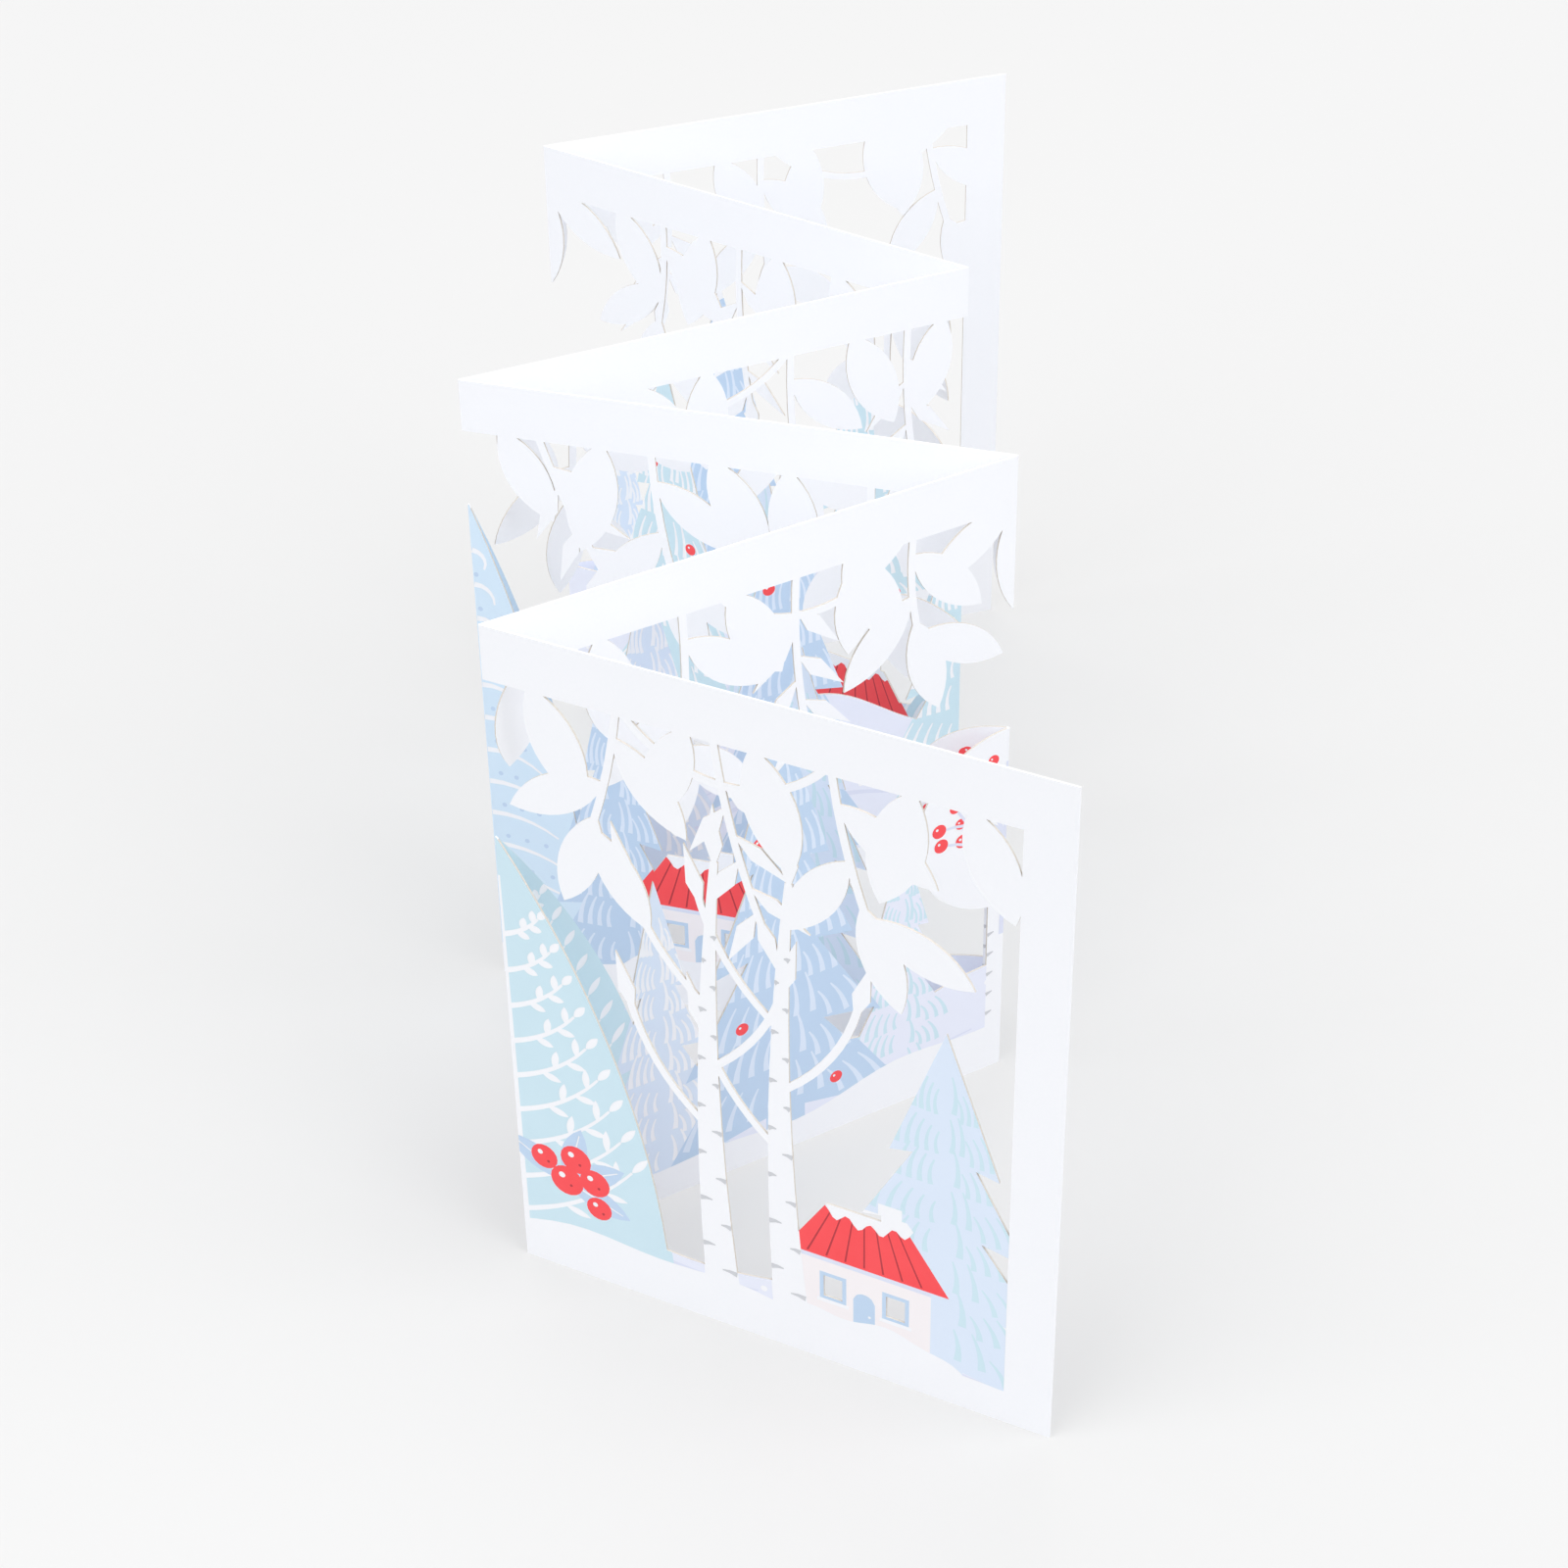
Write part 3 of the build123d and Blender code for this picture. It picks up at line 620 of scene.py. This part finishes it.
# Each single leaf: its place across, heading and size, by panel.
FRINGE = (
    ((0.08, -66, 0.95), (0.36, -112, 0.85), (0.47, -74, 1.00), (0.74, -104, 1.00), (0.83, -68, 0.90)),
    ((0.08, -104, 0.85), (0.20, -80, 1.00), (0.44, -62, 0.90), (0.66, -60, 0.95), (0.70, -100, 0.85)),
    ((0.07, -62, 0.85), (0.26, -102, 1.00), (0.46, -64, 0.95), (0.60, -86, 0.95), (0.88, -112, 0.85)),
    ((0.07, -64, 0.95), (0.32, -62, 1.00), (0.47, -92, 0.90), (0.76, -66, 0.95), (0.95, -104, 0.85)),
    ((0.18, -62, 0.90), (0.40, -104, 0.95), (0.57, -94, 1.00), (0.70, -66, 0.90), (0.95, -108, 0.85)),
    ((0.13, -70, 0.95), (0.36, -62, 0.90), (0.56, -96, 0.95), (0.69, -64, 0.90), (0.78, -92, 0.85)),
)


def spray(place, shape, leaves, spread, length, breadth):
    """Stem from the band, its heading turning evenly, with leaves to both sides by turns and one at its
    tip."""
    across, heading, turn, reach = place
    span = reach * CANOPY_DEPTH + BAND / 2 - (1 - TIP_TUCK) * length
    steps = np.radians(heading + turn * np.linspace(0, 1, STEM_POINTS))
    path = np.cumsum(np.stack([np.cos(steps), np.sin(steps)], axis=1), axis=0) * span / STEM_POINTS
    stem = path + (across * PANEL_WIDTH, PANEL_HEIGHT - BAND / 2)
    drawn = [(PAPER, stroke(stem, (STEM, STEM)))]
    for leaf in range(leaves):
        share = FIRST_LEAF + LEAF_SPAN * leaf / (leaves - 1)
        foot = stem[round(share * (STEM_POINTS - 1))]
        side = spread if leaf % 2 == 0 else -spread
        drawn.append((PAPER, shape(foot, heading + turn * share + side, length, breadth)))
    tip = stem[-1] - along(heading + turn, TIP_TUCK * length)
    return drawn + [(PAPER, shape(tip, heading + turn, length, breadth))]


def canopy(panel):
    """The panel's sprays and its fringe of single leaves, then the margin of an end panel."""
    drawn = []
    for shape, leaves, spread, length, breadth, places in SPRAYS:
        for place in places[panel]:
            drawn += spray(place, shape, leaves, spread, length, breadth)
    for across, heading, size in FRINGE[panel]:
        foot = np.array([across * PANEL_WIDTH, PANEL_HEIGHT - BAND + STEM])
        drawn.append((PAPER, almond(foot, heading, size * FRINGE_LENGTH, size * FRINGE_BREADTH)))
    if panel in (0, PANELS - 1):
        margin = block(PANEL_WIDTH - MARGIN, -OVERRUN, PANEL_WIDTH + OVERRUN, PANEL_HEIGHT + OVERRUN)
        drawn.append((PAPER, margin))
    return drawn


# Berry sprig: a cluster of five red berries over four blue leaves with white veins, painted low on the
# flame-shaped tree.
SPRIG_FOOT = np.array([12.0, 27.0])
SPRIG_HEADINGS, SPRIG_LEAF = (28, 75, 150, -20), (17.0, 6.5)
VEIN, VEIN_BRUSH = (0, 8, 15), (0.6, 0.3)
# Each berry: its place from the foot of the sprig, and its radius.
BERRIES = ((0, 0, 4.2), (7.2, 1.8, 3.8), (2.6, 7.0, 3.9), (-5.6, 5.0, 3.4), (8.0, -5.4, 3.2))
EYE_SHIFT, EYE_RADIUS, EYE_SIDES = (1.0, -1.2), 0.4, 6


def sprig():
    """Leaves fan from one foot, and berries sit over it, each with a dark eye."""
    drawn = [("blue", almond(SPRIG_FOOT, heading, *SPRIG_LEAF)) for heading in SPRIG_HEADINGS]
    for heading in SPRIG_HEADINGS:
        drawn.append((PAPER, stroke([SPRIG_FOOT + along(heading, far) for far in VEIN], VEIN_BRUSH)))
    for across, up, radius in BERRIES:
        centre = SPRIG_FOOT + (across, up)
        drawn += berry(centre, radius) + [("maroon", disc(centre + EYE_SHIFT, EYE_RADIUS, EYE_SIDES))]
    return drawn


# Laying the print: each face of a panel is one piece of ink, a hair above the card. Its outline is the
# die's, so that no ink hangs over a cut.
MERGE_DIGITS, WELD = 3, 1e-4
EDGES_AT_ONCE = 400
BARE = -1


def drawing(panel):
    """All the print of one panel, from the back of the scene to the front, as fields of an ink or of bare
    paper."""
    drawn = snow(panel)
    if panel in SPIRE_PANELS:
        drawn += spire()
    if panel in FLAME_PANELS:
        drawn += flame()
    for tree in FIRS[panel]:
        drawn += fir(*tree)
    drawn += foreground(panel)
    for place in COTTAGES[panel]:
        drawn += cottage(place)
    for place in BIRCHES[panel]:
        drawn += birch(place)
    if panel in BALL_PANELS:
        drawn += ball_tree()
    if panel in FLAME_PANELS:
        drawn += sprig()
    return drawn + canopy(panel)


def card_triangles():
    """The card's triangles, in millimetres, with equal corners merged: points and triples."""
    mesh = card.data
    mesh.calc_loop_triangles()
    points = np.empty(len(mesh.vertices) * 3)
    mesh.vertices.foreach_get("co", points)
    triples = np.empty(len(mesh.loop_triangles) * 3, int)
    mesh.loop_triangles.foreach_get("vertices", triples)
    rounded = np.round(points.reshape(-1, 3) * METRE, MERGE_DIGITS)
    points, merged = np.unique(rounded, axis=0, return_inverse=True)
    return points, merged.reshape(-1)[triples].reshape(-1, 3)


def crossings(places, edges):
    """For each place, whether a line to its right crosses an odd number of the edges."""
    odd = np.zeros(len(places), bool)
    x, y = places[:, :1], places[:, 1:]
    (ax, ay), (bx, by) = edges[:, 0].T, edges[:, 1].T
    for part in np.array_split(np.arange(len(edges)), max(1, len(edges) // EDGES_AT_ONCE)):
        spans = (ay[part] > y) != (by[part] > y)
        with np.errstate(divide="ignore", invalid="ignore"):
            meets = ax[part] + (y - ay[part]) * (bx[part] - ax[part]) / (by[part] - ay[part])
        odd ^= (spans & (x < meets)).sum(axis=1) % 2 == 1
    return odd


def closed(polygon):
    """Edges of a closed polygon, as pairs of points."""
    return np.stack([polygon, np.roll(polygon, -1, axis=0)], axis=1)


scene = bpy.context.scene
card_points, card_triples = card_triangles()
ink_names = list(INKS)
ink_materials = [ink(name) for name in ink_names]


def printed_face(panel, side):
    """Ink on one face of a panel: the face's own outline and the drawing's outlines are triangulated
    together, each triangle takes the last field drawn over it, and those off the card or bare go."""
    foot, right, normal = panel_frame(panel)
    plan = card_points[:, :2] - foot
    on_face = np.abs(plan @ normal - side * SHEET / 2) < INK_RISE
    triples = card_triples[on_face[card_triples].all(axis=1)]
    sides = np.sort(np.vstack([triples[:, [0, 1]], triples[:, [1, 2]], triples[:, [2, 0]]]), axis=1)
    sides, uses = np.unique(sides, axis=0, return_counts=True)
    outline = np.stack([plan @ right, card_points[:, 2]], axis=1)[sides[uses == 1]]

    fields = drawing(panel)
    edges = np.vstack([outline, *[closed(polygon) for _, polygon in fields]])
    links = np.arange(len(edges) * 2).reshape(-1, 2)
    made = delaunay_2d_cdt(edges.reshape(-1, 2).tolist(), links.tolist(), [], 0, WELD, False)
    places, faces = np.array(made[0]), np.array(made[2])

    middles = places[faces].mean(axis=1)
    inked = np.full(len(faces), BARE)
    for name, polygon in fields:
        low, high = polygon.min(axis=0), polygon.max(axis=0)
        near = np.flatnonzero(((middles > low) & (middles < high)).all(axis=1))
        covered = near[crossings(middles[near], closed(polygon))]
        inked[covered] = BARE if name is PAPER else ink_names.index(name)
    kept = (inked != BARE) & crossings(middles, outline)
    used, faces = np.unique(faces[kept], return_inverse=True)
    faces, inked, places = faces.reshape(-1, 3)[:, ::side], inked[kept], places[used]

    name = f"print_{panel + 1}_{'front' if side > 0 else 'back'}"
    plan = foot + places[:, :1] * right + side * (SHEET / 2 + INK_RISE) * normal
    mesh = bpy.data.meshes.new(name)
    mesh.from_pydata((np.column_stack([plan, places[:, 1]]) / METRE).tolist(), [], faces.tolist())
    shown, index = np.unique(inked, return_inverse=True)
    for number in shown:
        mesh.materials.append(ink_materials[number])
    mesh.polygons.foreach_set("material_index", index.astype(np.int32))
    chart = mesh.uv_layers.new(name="OFBake")
    chart.data.foreach_set("uv", (places[faces.reshape(-1)] / (PANEL_WIDTH, PANEL_HEIGHT)).ravel())
    piece = bpy.data.objects.new(name, mesh)
    scene.collection.objects.link(piece)
    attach(piece, "root")


for panel in range(PANELS):
    for side in (1, -1):
        printed_face(panel, side)

# Studio: a pale seamless floor, an even white surround and three broad soft lamps far off, the strongest
# to the right and the weakest behind. The floor and the surround run into each other, lifted to near white
# for the eye alone, so that they throw no more light on the card.
FLOOR_REACH, FLOOR_FADE = 6.0, (0.9, 3.0)
FLOOR_TONES, FLOOR_ROUGHNESS = ((173, 173, 173), (175, 175, 175)), 0.9
FLOOR_DRIFT, FLOOR_DETAIL = 0.6, 2
FLOOR_LIFT, SURROUND, BACKDROP = 0.33, 0.63, 0.90
LAMP_SIZE, LAMP_TARGET = 9.0, (0, 0, 0.08)
LAMPS = (
    ("key", (6.6, -3.5, 6.4), 672),
    ("fill", (-6.4, -4.6, 6.2), 622),
    ("back", (-1.5, 7.6, 5.2), 255),
)


def seen(wire):
    """1 for what the camera sees, straight or through gloss or glass, and 0 for the light on things."""
    camera, gloss, glass = [
        wire.node("ShaderNodeLightPath", {}, {}, out=f"Is {kind} Ray")
        for kind in ("Camera", "Glossy", "Transmission")
    ]
    return camera.most(gloss).most(glass)


def grey(level):
    """A neutral colour of one level of light."""
    return (level, level, level, 1.0)


def floor_finish():
    """Matt pale paper sweep with a faint drift of tone, which fades into the surround with the distance
    from the middle."""
    material, wire, place, shader = stock("sweep")
    apart = wire.node("ShaderNodeVectorMath", {"operation": "LENGTH"}, {0: place}, out=1)
    stretch = {"Value": apart, "From Min": FLOOR_FADE[0], "From Max": FLOOR_FADE[1]}
    far = wire.node("ShaderNodeMapRange", {"interpolation_type": "SMOOTHSTEP"}, stretch)
    drift = cloud(wire, place, FLOOR_DRIFT, FLOOR_DETAIL)
    wash = drift.blend(tone(*FLOOR_TONES[0]), tone(*FLOOR_TONES[1]))
    far.blend(wash, grey(0.0)).into(shader.inputs["Base Color"])
    lift = far.blend(grey(FLOOR_LIFT), grey(BACKDROP))
    seen(wire).blend(grey(0.0), lift).into(shader.inputs["Emission Color"])
    shader.inputs["Emission Strength"].default_value = 1.0
    shader.inputs["Roughness"].default_value = FLOOR_ROUGHNESS
    shader.inputs["Specular IOR Level"].default_value = 0.0
    return material


sweep = bpy.data.meshes.new("sweep")
spread = block(-FLOOR_REACH, -FLOOR_REACH, FLOOR_REACH, FLOOR_REACH)
sweep.from_pydata(np.column_stack([spread, np.zeros(4)]).tolist(), [], [(0, 1, 2, 3)])
sweep.materials.append(floor_finish())
floor = bpy.data.objects.new("floor", sweep)
scene.collection.objects.link(floor)

scene.world = bpy.data.worlds.new("studio")
scene.world.use_nodes = True
surround = Wire(scene.world.node_tree)
seen(surround).blend(grey(SURROUND), grey(BACKDROP)).into(surround.tree.nodes["Background"].inputs["Color"])
scene.view_settings.view_transform = "Standard"


def lamp(name, place, power):
    """Square soft lamp that faces its target: its axes are the sight line, a level side and their cross."""
    light = bpy.data.lights.new(name, "AREA")
    light.size = LAMP_SIZE
    light.energy = power
    holder = bpy.data.objects.new(name, light)
    sight = np.array(place) - np.array(LAMP_TARGET)
    back = sight / np.linalg.norm(sight)
    side = np.cross((0, 0, 1), back)
    side /= np.linalg.norm(side)
    turn = np.column_stack([side, np.cross(back, side), back])
    holder.matrix_world = Matrix.Translation(place) @ Matrix(turn.tolist()).to_4x4()
    scene.collection.objects.link(holder)


for name, place, power in LAMPS:
    lamp(name, place, power)

# Camera: a little above the card and straight before its front edge, as the photograph was taken. Its
# place, its three angles and its focal length were fitted to the corners of the panels.
CAMERA_PLACE = np.array([4.3, -656.7, 510.6]) / METRE
YAW, PITCH, ROLL = np.radians([0.032, 34.786, -0.902])
FOCUS_SHARE, SENSOR, NEAREST = 2.056, 36.0, 0.01


def look():
    """Axes of the view: forward from yaw and pitch, then the picture's axes turned by the roll."""
    forward = np.array([np.sin(YAW) * np.cos(PITCH), np.cos(YAW) * np.cos(PITCH), -np.sin(PITCH)])
    right = np.array([np.cos(YAW), -np.sin(YAW), 0])
    up = np.cross(right, forward)
    tilted = right * np.cos(ROLL) + up * np.sin(ROLL)
    raised = up * np.cos(ROLL) - right * np.sin(ROLL)
    return np.column_stack([tilted, raised, -forward])


lens = bpy.data.cameras.new("camera")
lens.sensor_width = SENSOR
lens.lens = SENSOR * FOCUS_SHARE
lens.clip_start = NEAREST
camera = bpy.data.objects.new("camera", lens)
camera.matrix_world = Matrix.Translation(CAMERA_PLACE.tolist()) @ Matrix(look().tolist()).to_4x4()
scene.collection.objects.link(camera)
scene.camera = camera
